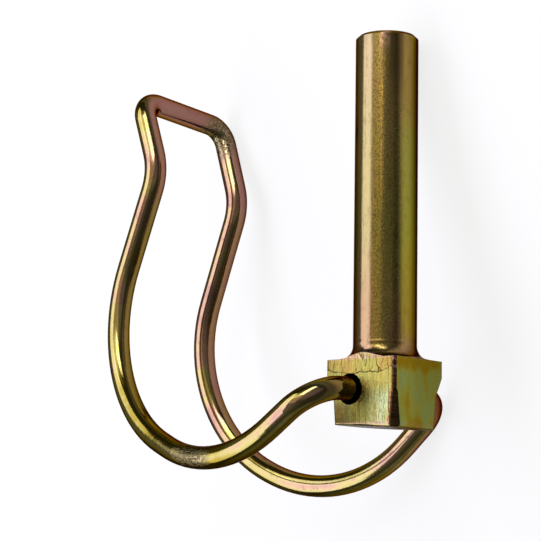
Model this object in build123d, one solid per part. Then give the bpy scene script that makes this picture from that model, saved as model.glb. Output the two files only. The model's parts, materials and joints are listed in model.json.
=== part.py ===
"""Lynch pin with a swinging wire bail, lying as it comes to rest. Millimetres, +Z up."""

import os
from math import radians, tan

from build123d import *

# Headed pin
shank_dia = 8.0
grip_length = 41.42  # shoulder to tip
tip_chamfer = 0.4
flare_radius = 1.8  # where the shank runs into the head
head_height = 8.35  # shoulder to foot, on the shank's axis
head_width = 11.1  # across the two plain sides
head_thick = 9.8  # across the two sides with the hole
width_shift = 0.46  # trimmed sides off the shank's axis, towards the bail
thick_shift = 0.5  # the same, away from the front end of the hole
corner_break = 0.4  # on the trimmed sides' upright edges
collar_dia = 14.4  # round blank left on the head's corners
collar_height = 1.9
waist_dia = 12.7
waist_drop = 4.4  # waist below the shoulder
foot_dia = 12.1
foot_slant_deg = 3.3  # the foot is higher on the bail's side
foot_round = 0.35
hole_dia = 3.9
hole_drop = 3.78  # hole centre below the shoulder
hole_offset = 2.0  # hole centre towards the bail

# Wire bail, its arms given from the hole's centre line
wire_dia = 3.0
end_gap = 1.2  # between the two wire ends inside the hole
bail_shift = 2.0  # bail slid along the hole
stub_half_span = 13.0
stub_bend = 5.0
arm_corners = [
    # out from the pin, up along the pin, half span, bend radius
    (16.5, -12.65, 12.8, 20.4),
    (44.85, 0.2, 8.5, 19.0),
    (33.05, 30.35, 8.1, 7.6),
    (36.65, 41.27, 8.1, 2.8),
]
rise_shares = [0.147, 0.147, 0.147, 0.078]  # a corner's shift along the pin, per length along the hole

# How the part lies
roll_deg = -147.028
pitch_deg = -73.773
turn_deg = -34.044


def make_pin():
    shank_r = shank_dia / 2
    flare_r = shank_r + flare_radius
    foot_drop = head_height + collar_dia * tan(radians(foot_slant_deg))
    with BuildSketch(Plane.XZ) as half:
        with BuildLine():
            lead = Polyline(
                (0, -foot_drop),
                (0, grip_length),
                (shank_r - tip_chamfer, grip_length),
                (shank_r, grip_length - tip_chamfer),
                (shank_r, flare_radius),
            )
            flare = TangentArc(lead @ 1, (flare_r, 0), tangent=(0, -1))
            Polyline(
                flare @ 1,
                (collar_dia / 2, 0),
                (collar_dia / 2, -collar_height),
                (waist_dia / 2, -waist_drop),
                (foot_dia / 2, -foot_drop),
                (0, -foot_drop),
            )
        make_face()
    blank = revolve(half.sketch, Axis.Z)
    tall = 2 * (foot_drop + grip_length)
    sides = Box(head_thick, head_width, tall)
    sides = Pos(-thick_shift, -width_shift, 0) * chamfer(sides.edges().filter_by(Axis.Z), corner_break)
    below = Box(2 * collar_dia, 2 * collar_dia, tall, align=(Align.CENTER, Align.CENTER, Align.MAX))
    sides = sides - Pos(0, 0, -head_height) * Rot(-foot_slant_deg, 0, 0) * below
    sides = fillet(sides.faces().sort_by(Axis.Z)[0].edges(), foot_round)
    body = blank & sides
    bore = Cylinder(hole_dia / 2, 2 * collar_dia, rotation=(0, 90, 0))
    return body - Pos(0, -hole_offset, -hole_drop) * bore


def arm(side):
    reach = side * stub_half_span - bail_shift
    points = [(side * end_gap / 2 - bail_shift, 0, 0), (reach, 0, 0)]
    for (out, up, half_span, _), rise_share in zip(arm_corners, rise_shares):
        along = side * half_span - bail_shift
        points.append((along, -out, rise_share * along + up))
    return [Vector(*p) for p in points]


def rounded(points, radii):
    edges = []
    start = points[0]
    for before, corner, after, radius in zip(points, points[1:], points[2:], radii):
        back = (before - corner).normalized()
        ahead = (after - corner).normalized()
        half_angle = back.get_angle(ahead) / 2
        setback = radius / tan(radians(half_angle))
        entry = corner + back * setback
        leave = corner + ahead * setback
        edges.append(Line(start, entry))
        edges.append(TangentArc(entry, leave, tangent=-back))
        start = leave
    edges.append(Line(start, points[-1]))
    return Wire(edges)


def make_bail():
    front, rear = arm(1), arm(-1)
    bends = [stub_bend] + [row[3] for row in arm_corners]
    path = rounded(front + rear[::-1], bends + bends[::-1])
    section = Plane(path @ 0, z_dir=path % 0) * Circle(wire_dia / 2)
    wire = sweep(section, path=path)
    return Pos(0, -hole_offset, -hole_drop) * wire


pin = make_pin()
bail = make_bail()
lie = Rot(0, 0, turn_deg) * Rot(0, pitch_deg, 0) * Rot(roll_deg, 0, 0)
laid = {"headed_pin": lie * pin, "wire_bail": lie * bail}
box = Compound(list(laid.values())).bounding_box()
rest = Pos(-box.center().X, -box.center().Y, -box.min.Z)

os.makedirs("parts", exist_ok=True)
for node, shape in laid.items():
    export_step(rest * shape, f"parts/{node}.step")
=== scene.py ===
import json
from math import cos, radians, sin

import bpy
from mathutils import Matrix, Vector

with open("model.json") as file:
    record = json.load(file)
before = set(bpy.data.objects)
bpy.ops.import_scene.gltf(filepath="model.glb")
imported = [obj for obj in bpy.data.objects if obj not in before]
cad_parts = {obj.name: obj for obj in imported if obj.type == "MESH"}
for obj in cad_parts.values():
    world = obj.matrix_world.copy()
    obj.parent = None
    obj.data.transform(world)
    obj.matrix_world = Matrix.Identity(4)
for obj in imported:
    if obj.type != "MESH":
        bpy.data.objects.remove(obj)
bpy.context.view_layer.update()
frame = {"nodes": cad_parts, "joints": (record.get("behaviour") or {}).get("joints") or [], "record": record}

pin = frame["nodes"]["headed_pin"]
bail = frame["nodes"]["wire_bail"]
mmPerMetre = 1000
print("frame loaded:", sorted(frame["nodes"]))


class Feed:  # one shader value; arithmetic on it adds Math nodes
    def __init__(self, finish, socket):
        self.finish = finish
        self.socket = socket

    def calc(self, operation, *values):
        return self.finish.node("ShaderNodeMath", {"operation": operation}, dict(enumerate(values)))

    def __add__(self, other):
        return self.calc("ADD", self, other)

    def __radd__(self, other):
        return self.calc("ADD", other, self)

    def __sub__(self, other):
        return self.calc("SUBTRACT", self, other)

    def __rsub__(self, other):
        return self.calc("SUBTRACT", other, self)

    def __mul__(self, other):
        return self.calc("MULTIPLY", self, other)

    def __rmul__(self, other):
        return self.calc("MULTIPLY", other, self)

    def __abs__(self):
        return self.calc("ABSOLUTE", self)

    def least(self, other):
        return self.calc("MINIMUM", self, other)

    def most(self, other):
        return self.calc("MAXIMUM", self, other)

    def root(self):
        return self.calc("SQRT", self)

    def step(self, low, high):  # soft step, 0 at low and 1 at high
        return self.finish.node("ShaderNodeMapRange", {"interpolation_type": "SMOOTHSTEP"},
                                {"Value": self, "From Min": low, "From Max": high})

    def near(self, middle, inner, outer):  # 1 within inner of the middle, 0 beyond outer
        return 1 - abs(self - middle).step(inner, outer)


class Finish:  # a node tree, and the one way to add a node to it
    def __init__(self, owner):
        owner.use_nodes = True
        self.tree = owner.node_tree
        self.tree.nodes.clear()

    def node(self, kind, settings, inputs, output=0):
        made = self.tree.nodes.new(kind)
        for name, value in settings.items():
            if name == "stops":
                ramp = made.color_ramp
                while len(ramp.elements) < len(value):
                    ramp.elements.new(0.5)
                for element, (place, colour) in zip(ramp.elements, value):
                    element.position = place
                    element.color = (*colour, 1.0)
            else:
                setattr(made, name, value)
        for name, value in inputs.items():
            if isinstance(value, Feed):
                self.tree.links.new(value.socket, made.inputs[name])
            else:
                made.inputs[name].default_value = value
        return Feed(self, made.outputs[output]) if made.outputs else None

    def noise(self, place, scale, detail, rough):
        return self.node("ShaderNodeTexNoise", {}, {"Vector": place, "Scale": scale, "Detail": detail,
                                                    "Roughness": rough})

    def ramp(self, stops, share):
        return self.node("ShaderNodeValToRGB", {"stops": stops}, {0: share})

    def vector(self, x, y, z):
        return self.node("ShaderNodeCombineXYZ", {}, {0: x, 1: y, 2: z})

    def dot(self, first, second):
        return self.node("ShaderNodeVectorMath", {"operation": "DOT_PRODUCT"}, {0: first, 1: second}, "Value")

    def blend(self, share, first, second):
        first = first if isinstance(first, Feed) else (*first, 1.0)
        second = second if isinstance(second, Feed) else (*second, 1.0)
        return self.node("ShaderNodeMix", {"data_type": "RGBA"}, {0: share, 6: first, 7: second}, 2)

    def place(self, kind):
        return self.node("ShaderNodeTexCoord", {}, {}, kind)

    def ray(self, kind):  # 1 for rays of that kind
        return self.node("ShaderNodeLightPath", {}, {}, f"Is {kind} Ray")

    def along(self, start, direction):  # millimetres from start along a direction, in the piece's own space
        offset = self.node("ShaderNodeVectorMath", {"operation": "SUBTRACT"},
                           {0: self.place("Object"), 1: start})
        return mmPerMetre * self.dot(offset, direction)

    def metal(self, colour, roughness, height, look):
        normal = self.node("ShaderNodeBump", {}, {"Strength": look["bump"]["strength"],
                                                  "Distance": look["bump"]["depth"], "Height": height})
        shader = self.node("ShaderNodeBsdfPrincipled", {}, {"Base Color": colour, "Roughness": roughness,
                                                            "Metallic": 1.0, "Normal": normal,
                                                            "Specular Tint": (*look["edgeTint"], 1.0)})
        self.node("ShaderNodeOutputMaterial", {}, {"Surface": shader})


def newFinish(name):
    material = bpy.data.materials.new(name)
    return material, Finish(material)


# the pin: drawn shank, trimmed head, mottled yellow zinc; lengths in millimetres from the shoulder
pinLook = {
    "shankMiddle": 21.41,  # shoulder to the middle of the shank's mount
    "shankRim": (3.5, 3.8),  # radius where the cut end gives way to the shank's side
    "headHeight": 8.35,
    "endsHalf": 4.80,  # just inside the two faces with the hole
    "holeShift": 0.5,  # trimmed sides off the shank's axis, along the hole and across it
    "sideShift": 0.46,
    "cornerReach": 10.05,
    "blankRadius": 7.2,  # the round blank: collar, waist and their tapers
    "collarHeight": 1.9,
    "collarTaper": 0.34,
    "waistDrop": 4.4,
    "footTaper": 0.067,
    "bandDepth": 1.25,  # torn band at its shallowest, its sag mid-face and how far it wanders
    "bandSag": 0.65,
    "bandWander": 1.5,
    "oliveAt": 18.5,  # place on the shank where the plating is least warm
    "bandTurnDeg": 42.25,  # how far the painted highlight and painted floor reflection bands are turned round the shank
    "plating": [(0.28, (0.205, 0.190, 0.042)), (0.42, (0.255, 0.205, 0.050)), (0.54, (0.290, 0.210, 0.060)),
                (0.66, (0.300, 0.188, 0.070)), (0.80, (0.275, 0.155, 0.080))],
    # painted highlight: paler, bluer plating on the sector where the key light's highlight falls
    "highlightTint": {"edge": (-2.1, -1.5), "share": 0.75,
                 "stops": [(0.15, (0.245, 0.150, 0.090)), (0.35, (0.245, 0.192, 0.090)),
                           (0.60, (0.255, 0.208, 0.090)), (0.90, (0.268, 0.208, 0.112))]},
    # painted reflection: saturated gold plating on the sector that mirrors the floor
    "floorReflectionTint": {"edge": (1.4, 2.0), "share": 0.85,
                 "stops": [(0.04, (0.310, 0.175, 0.085)), (0.14, (0.325, 0.235, 0.020)),
                           (0.35, (0.300, 0.270, 0.030)), (0.60, (0.275, 0.252, 0.042)),
                           (0.80, (0.285, 0.190, 0.042))]},
    "tornPlating": [(0.28, (0.200, 0.222, 0.066)), (0.42, (0.235, 0.232, 0.056)),
                    (0.56, (0.270, 0.232, 0.052)), (0.70, (0.275, 0.192, 0.044))],
    "sidePlating": [(0.30, (0.190, 0.262, 0.095)), (0.46, (0.228, 0.268, 0.070)),
                    (0.58, (0.262, 0.250, 0.042)), (0.72, (0.258, 0.166, 0.013))],
    # painted highlight: a pale patch low on one side of the end faces
    "paintedHighlight": {"colour": (0.385, 0.475, 0.250), "side": (0.3, 3.2), "depth": (3.2, 5.6), "share": 0.8},
    # painted shadow of the wire: darker brown low on the other side of the end faces
    "wireShadow": {"colour": (0.122, 0.074, 0.018), "side": (-4.2, 0.4), "depth": (4.0, 6.2), "share": 0.9},
    "brown": (0.060, 0.038, 0.012),
    # painted shade: the round blank at the corners, near black with ridges
    "blankShade": [(0.35, (0.030, 0.018, 0.008)), (0.65, (0.105, 0.062, 0.024))],
    # torn plating and painted edge highlight: pinkish colour on the faces' edges and the ragged blank, and
    # wear at the tip
    "tearAndEdgeGlint": {"colour": (0.42, 0.25, 0.17), "share": 0.85},
    "rust": (0.30, 0.075, 0.016),
    # painted highlight: a bright line along part of the shank
    "highlightLine": {"colour": (0.48, 0.30, 0.06), "across": (-0.82, 0.06, 0.20), "starts": (18, 23),
                 "stops": (34, 37), "share": 0.7},
    "pitted": {"across": (-0.2, 1.3, 2.3), "share": 0.8},  # strip along the shank
    "tipWear": {"across": (-0.5, 0.45, 0.85), "starts": (38.2, 40.2)},
    # painted shade: a brown stripe on the side that mirrors the dark room, stronger near the tip
    "bandShade": {"across": (1.0, 0.6, 1.2), "starts": (28, 38), "share": 0.60, "least": 0.05},
    # painted shade: the shank's far rim, past the gold tint, is darker
    "rimShade": {"edge": (2.6, 3.9), "share": 0.6},
    "stain": {"mottle": 0.30, "pit": 0.62, "lines": 0.2, "lip": 0.9, "crack": 0.85, "most": 0.9},
    "flareRing": (2.0, 0.0, 0.4),
    # scale to the millimetre, detail, roughness
    "noise": {"mottle": (1.3, 6.0, 0.72), "grain": (4.8, 2.0, 0.8), "lines": (3.4, 4.0, 0.6),
              "drift": (0.22, 3.0, 0.6), "striae": (1.9, 6.0, 0.72), "patch": (0.30, 3.0, 0.6),
              "wander": (0.55, 5.0, 0.6), "chips": (1.6, 6.0, 0.7), "cracks": (1.0, 2.0, 0.55),
              "ridges": (1.5, 4.0, 0.65)},
    "roughness": {"base": 0.10, "mottle": 0.10, "worked": 0.07, "faces": 0.08, "corner": 0.1},
    "relief": {"lines": 0.20, "mottle": 0.10, "pit": 0.05, "ring": 0.8, "crack": 0.8, "sideStriae": 0.5,
               "endStriae": 0.9, "torn": 0.7, "chips": 1.1, "crown": 0.28},
    "edgeTint": (0.19, 0.135, 0.035),
    "bump": {"strength": 0.60, "depth": 0.00008},
}


def platedPin(look):
    material, f = newFinish("platedPin")
    noise = look["noise"]

    # the pin's own axes, from the shank's mount and the hinge in the hole
    mount = next(m for m in frame["record"]["mounts"] if m["name"] == "shank")
    hinge = next(j for j in frame["joints"] if j["name"] == "bail_swing")
    tipWay = Vector(mount["axis"])
    holeWay = -Vector(hinge["axis"])
    shoulder = Vector(mount["pos_m"]) - tipWay * (look["shankMiddle"] / mmPerMetre)
    hole = f.along(shoulder, holeWay)
    side = f.along(shoulder, tipWay.cross(holeWay))
    tip = f.along(shoulder, tipWay)
    bandTurn = radians(look["bandTurnDeg"])
    turn = side * cos(bandTurn) - hole * sin(bandTurn)  # across the shank, from the painted highlight tint to the painted floor reflection tint
    depth = 0 - tip
    radius = (hole * hole + side * side).root()
    head = depth.step(-0.02, 0.02)
    ends = (abs(hole + look["holeShift"]) - look["endsHalf"]).step(0.0, 0.08)  # they also cut the flare
    faces = head.most(ends)
    shank = radius.step(*look["shankRim"])  # fades the banding out on the cut end

    # mottling, fine pits and drawing lines over the whole pin; olive mid-length, warmer to both ends
    mottle = f.noise(f.vector(hole, side, tip * 0.45), *noise["mottle"])
    strip = look["pitted"]
    worked = (1 - faces) * (1 - strip["share"] + turn.near(*strip["across"]) * strip["share"])
    pit = f.noise(f.vector(hole, side, tip), *noise["grain"]).step(0.38, 0.64) * worked
    lines = f.noise(f.vector(hole, side, tip * 0.03), *noise["lines"])
    drift = f.noise(f.vector(hole * 0.9, side * 0.9, tip * 0.5), *noise["drift"])
    warm = abs(tip - look["oliveAt"]) * 0.012 + drift * 0.7 + lines * 0.22
    colour = f.ramp(look["plating"], warm - 0.08)

    # painted bands along the shank: a paler, bluer tint as painted highlight where the key light falls, a
    # gold tint as painted reflection where the floor is mirrored; and one painted highlight line
    length = tip * 0.024 + (drift - 0.5) * 0.3
    pale = look["highlightTint"]
    gold = look["floorReflectionTint"]
    onHighlightTint = (1 - turn.step(*pale["edge"])) * shank
    onFloorReflectionTint = turn.step(*gold["edge"]) * shank
    colour = f.blend(onHighlightTint * pale["share"], colour, f.ramp(pale["stops"], length))
    colour = f.blend(onFloorReflectionTint * gold["share"], colour, f.ramp(gold["stops"], length))
    # painted highlight: a bright line along part of the shank, broken along its length
    line = look["highlightLine"]
    onHighlightLine = turn.near(*line["across"]) * tip.step(*line["starts"]) * (1 - tip.step(*line["stops"]))
    colour = f.blend(onHighlightLine * lines.step(0.40, 0.52) * line["share"], colour, line["colour"])

    # trimmed faces of the head: upright striations, and at the two ends a torn band that sags mid-face
    striae = f.noise(f.vector(hole * 2.2, side * 2.2, tip * 0.10 + side * 0.10), *noise["striae"])
    patch = f.noise(f.vector(hole * 1.2 + 30, side * 1.2, tip * 0.5), *noise["patch"])
    wander = f.noise(f.vector(hole, side, 0.0), *noise["wander"])
    chips = f.noise(f.vector(hole, side, tip), *noise["chips"])
    cracks = f.noise(f.vector(hole * 0.9, side * 0.9, tip * 0.12), *noise["cracks"])
    chipped = chips.step(0.40, 0.56)
    outward = (abs(side) * 0.19).least(abs(hole) * 0.22)
    edge = look["bandDepth"] + (1 - outward * outward) * look["bandSag"] + (wander - 0.5) * look["bandWander"]
    torn = faces * (1 - (depth - edge).step(-0.05, 0.05)) * ends
    lip = head * ends * depth.near(edge, 0.02, 0.16)
    crack = torn * cracks.near(0.5, 0.0, 0.012)
    end = f.ramp(look["tornPlating"], patch + (striae - 0.5) * 0.45 + torn * 0.09)
    # painted highlight: a pale patch low on one side of the end faces, broken by the striations
    paintedHighlight = look["paintedHighlight"]
    lit = side.step(*paintedHighlight["side"]) * depth.step(*paintedHighlight["depth"]) * striae.step(0.36, 0.58)
    end = f.blend(lit * paintedHighlight["share"], end, paintedHighlight["colour"])
    # painted shadow of the wire: darker brown low on the other side of the end faces
    wireShadow = look["wireShadow"]
    dim = (1 - side.step(*wireShadow["side"])) * depth.step(*wireShadow["depth"])
    end = f.blend(dim * wireShadow["share"], end, wireShadow["colour"])
    fromFoot = depth - look["headHeight"]
    soft = 1 - (depth - edge).step(-0.9, 0.4)
    low = fromFoot.step(-1.9, -0.3)
    plain = f.ramp(look["sidePlating"], patch + (striae - 0.5) * 0.20 + soft * 0.20 + low * 0.07)
    colour = f.blend(faces, colour, f.blend(ends, plain, end))

    # round blank left at the corners, and the torn, rust-tinted edges beside it
    collar = (depth - look["collarHeight"]).most(0).least(look["waistDrop"] - look["collarHeight"])
    foot = (depth - look["waistDrop"]).most(0)
    past = radius - (look["blankRadius"] - collar * look["collarTaper"] - foot * look["footTaper"])
    bevel = abs(hole + look["holeShift"]) + abs(side + look["sideShift"]) - look["cornerReach"]
    corner = head * past.step(-0.06, -0.01).most(bevel.step(-0.05, -0.01))
    fringe = head * past.step(-0.30, -0.12).most(bevel.step(-0.26, -0.10)) * (1 - corner)
    ragged = corner * (1 - depth.step(0.8, 2.4)) * chips.step(0.52, 0.58)
    # torn plating and painted edge highlights: pinkish lines along the faces' top and bottom edges, and
    # ragged specks on the blank
    rim = faces * (1 - depth.step(0.05, 0.26)).most(fromFoot.step(-0.55, -0.30) * (1 - corner))
    rim = (rim * chipped * (0.25 + ends * 0.75)).most(ragged)
    colour = f.blend(fringe * ends * side.step(0, 3) * chips.step(0.34, 0.52), colour, look["rust"])
    ridges = f.noise(f.vector(hole * 0.5, side * 0.5, tip * 2.6), *noise["ridges"])
    # painted shade: the round blank at the corners painted near black, with ridges
    colour = f.blend(corner, colour, f.ramp(look["blankShade"], ridges))
    wear = look["tipWear"]
    worn = shank * tip.step(*wear["starts"]) * turn.near(*wear["across"]) * chips.step(0.40, 0.54)
    colour = f.blend(rim.most(worn) * look["tearAndEdgeGlint"]["share"], colour, look["tearAndEdgeGlint"]["colour"])

    # brown in the pits, lines and cracks, and painted shade: a stripe along the shank that darkens towards
    # the tip, and the far rim past the painted floor reflection tint
    stain = look["stain"]
    bandShade = look["bandShade"]
    dark = mottle.step(0.48, 0.72) * stain["mottle"] + pit * stain["pit"]
    dark = dark + lines.step(0.54, 0.72) * stain["lines"]
    # painted shade: a brown stripe along the side that mirrors the dark room, stronger near the tip
    nearTip = bandShade["least"] + tip.step(*bandShade["starts"]) * bandShade["share"]
    dark = dark.most(nearTip * turn.near(*bandShade["across"]) * shank)
    # painted shade: the far rim of the shank, beyond the gold tint
    dark = dark.most(turn.step(*look["rimShade"]["edge"]) * look["rimShade"]["share"]) * (1 - worn)
    dark = dark * (1 - faces * 0.70)
    dark = dark.most(striae.step(0.51, 0.67) * (0.25 + ends * 0.50) * (faces - torn))
    dark = dark.most(lip * chipped * stain["lip"]).most(crack * stain["crack"])
    colour = f.blend(dark.least(stain["most"]), colour, look["brown"])

    # the two faces with the hole are slightly crowned
    rough = look["roughness"]
    roughness = rough["base"] + mottle * rough["mottle"] + worked * rough["worked"]
    roughness = roughness + faces * rough["faces"] + corner * rough["corner"]
    relief = look["relief"]
    height = lines * relief["lines"] + mottle * relief["mottle"] - pit * relief["pit"]
    height = height + tip.near(*look["flareRing"]) * relief["ring"] - crack * relief["crack"]
    height = height + faces * striae * (relief["sideStriae"] + ends * relief["endStriae"])
    height = height + torn * (chips * relief["chips"] + relief["torn"])
    height = height - head * ends * side * side * relief["crown"]
    f.metal(colour, roughness, height, look)
    return material


# the bail: smooth spring wire, the same plating, its hue drifting along and around the wire
bailLook = {
    "plating": [(0.22, (0.200, 0.148, 0.023)), (0.38, (0.265, 0.225, 0.068)), (0.50, (0.290, 0.230, 0.090)),
                (0.62, (0.295, 0.180, 0.110)), (0.78, (0.230, 0.130, 0.095))],
    "hue": {"middle": 0.64, "lean": 0.10, "leanShare": 0.55, "drift": 1.0, "mottle": 0.15},
    "frontArm": {"up": (12, 20), "share": 0.06},  # a little yellower, millimetres up
    # painted shade: browner, darker colours for the side that faces down
    "underShade": {"stops": [(0.05, (0.270, 0.115, 0.098)), (0.25, (0.250, 0.125, 0.062)),
                        (0.45, (0.225, 0.130, 0.045)), (0.70, (0.190, 0.125, 0.022))],
              "upShare": 0.028, "driftShare": 0.9, "facing": (0.12, 0.45), "share": 0.85},
    "crossbar": {"across": (10, 18), "share": 0.40},  # mauve, millimetres along X
    "brown": (0.060, 0.038, 0.015),
    "scuff": {"spots": [(-0.0197, 0.0010, 0.0300), (0.0222, 0.0196, 0.0032)], "reach": (0.0012, 0.0046),
              "colour": (0.215, 0.195, 0.095), "share": 0.7},
    "noise": {"drift": (0.17, 3.0, 0.6), "mottle": (1.5, 5.0, 0.62), "speck": (3.6, 3.0, 0.55)},
    "stain": {"mottle": 0.35, "pit": 0.9},
    "roughness": {"base": 0.07, "mottle": 0.08, "scuff": 0.03},
    "relief": {"mottle": 0.5, "speck": 0.4, "pit": 4.0},
    "edgeTint": (0.24, 0.17, 0.05),
    "bump": {"strength": 0.30, "depth": 0.00003},
}


def platedWire(look):
    material, f = newFinish("platedWire")
    origin = (0.0, 0.0, 0.0)
    xWay = (1.0, 0.0, 0.0)
    yWay = (0.0, 1.0, 0.0)
    zWay = (0.0, 0.0, 1.0)
    across = f.along(origin, xWay)
    up = f.along(origin, zWay)
    place = f.vector(across, f.along(origin, yWay), up)
    drift = f.noise(place, *look["noise"]["drift"])
    mottle = f.noise(place, *look["noise"]["mottle"])
    speck = f.noise(place, *look["noise"]["speck"])
    facing = f.place("Normal")
    mix = look["hue"]
    hue = mix["middle"] - abs(f.dot(facing, xWay) - mix["lean"]) * mix["leanShare"]
    hue = hue + (drift - 0.5) * mix["drift"] + (mottle - 0.5) * mix["mottle"]
    hue = hue - up.step(*look["frontArm"]["up"]) * look["frontArm"]["share"]
    colour = f.ramp(look["plating"], hue)

    # painted shade: browner, darker and mauve on the side that faces down
    underShade = look["underShade"]
    mauve = across.step(*look["crossbar"]["across"]) * look["crossbar"]["share"]
    shade = f.ramp(underShade["stops"], up * underShade["upShare"] + (drift - 0.5) * underShade["driftShare"] - mauve)
    colour = f.blend((1 - f.dot(facing, zWay).step(*underShade["facing"])) * underShade["share"], colour, shade)

    # roughened where the bends were pressed
    scuff = 0
    for spot in look["scuff"]["spots"]:
        offset = f.node("ShaderNodeVectorMath", {"operation": "DISTANCE"},
                        {0: f.place("Object"), 1: spot}, "Value")
        scuff = (1 - offset.step(*look["scuff"]["reach"])).most(scuff)
    pit = scuff * speck.step(0.45, 0.58)
    colour = f.blend(scuff * look["scuff"]["share"], colour, look["scuff"]["colour"])
    stain = look["stain"]
    dark = (mottle.step(0.54, 0.74) * stain["mottle"]).most(pit * stain["pit"])
    colour = f.blend(dark, colour, look["brown"])
    rough = look["roughness"]
    relief = look["relief"]
    roughness = rough["base"] + mottle * rough["mottle"] + scuff * rough["scuff"]
    height = mottle * relief["mottle"] + speck * relief["speck"] - pit * relief["pit"]
    f.metal(colour, roughness, height, look)
    return material


def dress(piece, material):
    piece.data.materials.clear()
    piece.data.materials.append(material)


dress(pin, platedPin(pinLook))
dress(bail, platedWire(bailLook))
print("plating on:", pin.name, bail.name)


# pale floor that stays white to the eye, with a faint shadow; the metal shows it greyer, and painted near
# black further out as painted shade
floorLook = {"half": 4.0, "colour": (0.86, 0.86, 0.85), "seen": 0.82, "mirrored": 0.30,
             "fade": {"reach": (0.030, 0.095), "share": 0.80, "colour": (0.04, 0.04, 0.04)}}


def paleFloor(look):
    half = look["half"]
    corners = [(-half, -half, 0), (half, -half, 0), (half, half, 0), (-half, half, 0)]
    mesh = bpy.data.meshes.new("floor")
    mesh.from_pydata(corners, [], [(0, 1, 2, 3)])
    floor = bpy.data.objects.new("floor", mesh)
    bpy.context.scene.collection.objects.link(floor)
    material, f = newFinish("floorWhite")
    mirrored = f.ray("Glossy")
    share = (f.ray("Camera") * look["seen"]).most(mirrored.most(f.ray("Transmission")) * look["mirrored"])
    matt = f.node("ShaderNodeBsdfDiffuse", {}, {"Color": (*look["colour"], 1.0)})
    glow = f.node("ShaderNodeEmission", {}, {"Color": (1.0, 1.0, 1.0, 1.0), "Strength": 1.0})
    mixed = f.node("ShaderNodeMixShader", {}, {0: share, 1: matt, 2: glow})
    reach = f.node("ShaderNodeVectorMath", {"operation": "LENGTH"}, {0: f.place("Object")}, "Value")
    # painted shade: to the metal, the floor is painted near black further out
    faded = mirrored * reach.step(*look["fade"]["reach"]) * look["fade"]["share"]
    dim = f.node("ShaderNodeBsdfDiffuse", {}, {"Color": (*look["fade"]["colour"], 1.0)})
    mixed = f.node("ShaderNodeMixShader", {}, {0: faded, 1: mixed, 2: dim})
    f.node("ShaderNodeOutputMaterial", {}, {"Surface": mixed})
    mesh.materials.append(material)


paleFloor(floorLook)

# dim room with a soft grey ceiling; pale to the eye behind the floor's edge
roomLook = {
    "heights": [(0.00, (0.040, 0.039, 0.036)), (0.50, (0.045, 0.043, 0.040)), (0.80, (0.11, 0.107, 0.10)),
                (0.94, (0.20, 0.195, 0.185)), (1.00, (0.32, 0.315, 0.30))],
    "pale": (0.95, 0.95, 0.95),
    "mirrored": 0.03,
    # paler walls that the metal shows: direction, where the glow starts and how pale it gets
    "walls": [((-1.0, 0.0, 0.0), 0.75, 0.32), ((0.0, 1.0, 0.0), 0.60, 0.30),
              ((0.30, -0.78, 0.55), 0.84, 0.26)],
    "wallFull": 0.97,
}


def dimRoom(look):
    world = bpy.data.worlds.new("studio")
    bpy.context.scene.world = world
    f = Finish(world)
    way = f.place("Generated")
    height = f.node("ShaderNodeSeparateXYZ", {}, {0: way}, "Z")
    walls = 0
    for direction, start, level in look["walls"]:
        walls = (f.dot(way, direction).step(start, look["wallFull"]) * level).most(walls)
    share = f.ray("Camera").most(f.ray("Transmission")).most(f.ray("Glossy") * (look["mirrored"] + walls))
    colour = f.blend(share, f.ramp(look["heights"], height), look["pale"])
    back = f.node("ShaderNodeBackground", {}, {"Color": colour, "Strength": 1.0})
    f.node("ShaderNodeOutputWorld", {}, {"Surface": back})


dimRoom(roomLook)

# soft boxes: where they stand, the point they face, their size, power and tint
lampLooks = {
    "overhead": {"at": (0.215, 0.304, 0.550), "aim": (0.215, 0.0, 0.01), "size": (1.47, 0.466),
                 "watts": 6.70, "tint": (1.0, 1.0, 1.25)},
    "between": {"at": (0.319, -0.164, 0.505), "aim": (0.0, 0.0, 0.01), "size": (0.42, 0.55),
                "watts": 0.50, "tint": (1.0, 0.77, 0.46)},
    "endPanel": {"at": (0.397, -0.035, 0.485), "aim": (0.0, 0.0, 0.01), "size": (0.40, 0.16),
                 "watts": 0.30, "tint": (1.0, 0.95, 0.85)},
    "tipSide": {"at": (0.448, -0.253, 0.309), "aim": (0.0, 0.0, 0.01), "size": (0.18, 0.37),
                "watts": 1.20, "tint": (1.0, 1.0, 1.15)},
}
for name, look in lampLooks.items():
    light = bpy.data.lights.new(name, "AREA")
    light.shape = "RECTANGLE"
    light.size, light.size_y = look["size"]
    light.energy = look["watts"]
    light.color = look["tint"]
    lamp = bpy.data.objects.new(name, light)
    lamp.location = look["at"]
    lamp.rotation_euler = (Vector(look["aim"]) - lamp.location).to_track_quat("-Z", "Y").to_euler()
    lamp.visible_camera = False
    bpy.context.scene.collection.objects.link(lamp)
print("floor, room and lamps set")

# camera, turned on its side so that the tip points up in the picture
cameraLook = {
    "at": (0.001953, -0.194426, 0.173131),
    "right": (-0.16698, -0.62597, -0.76176),
    "up": (0.98596, -0.10631, -0.12878),
    "lens": 126.43,
    "sensor": 36.0,
    "clip": (0.005, 50.0),
}
lens = bpy.data.cameras.new("photo")
lens.sensor_fit = "HORIZONTAL"
lens.sensor_width = cameraLook["sensor"]
lens.lens = cameraLook["lens"]
lens.clip_start, lens.clip_end = cameraLook["clip"]
camera = bpy.data.objects.new("photo", lens)
right = Vector(cameraLook["right"]).normalized()
up = Vector(cameraLook["up"])
up = (up - right * up.dot(right)).normalized()
facing = Matrix((right, up, right.cross(up))).transposed()
camera.matrix_world = Matrix.Translation(cameraLook["at"]) @ facing.to_4x4()
bpy.context.scene.collection.objects.link(camera)
bpy.context.scene.camera = camera
bpy.context.scene.view_settings.view_transform = "Standard"
print("camera set")
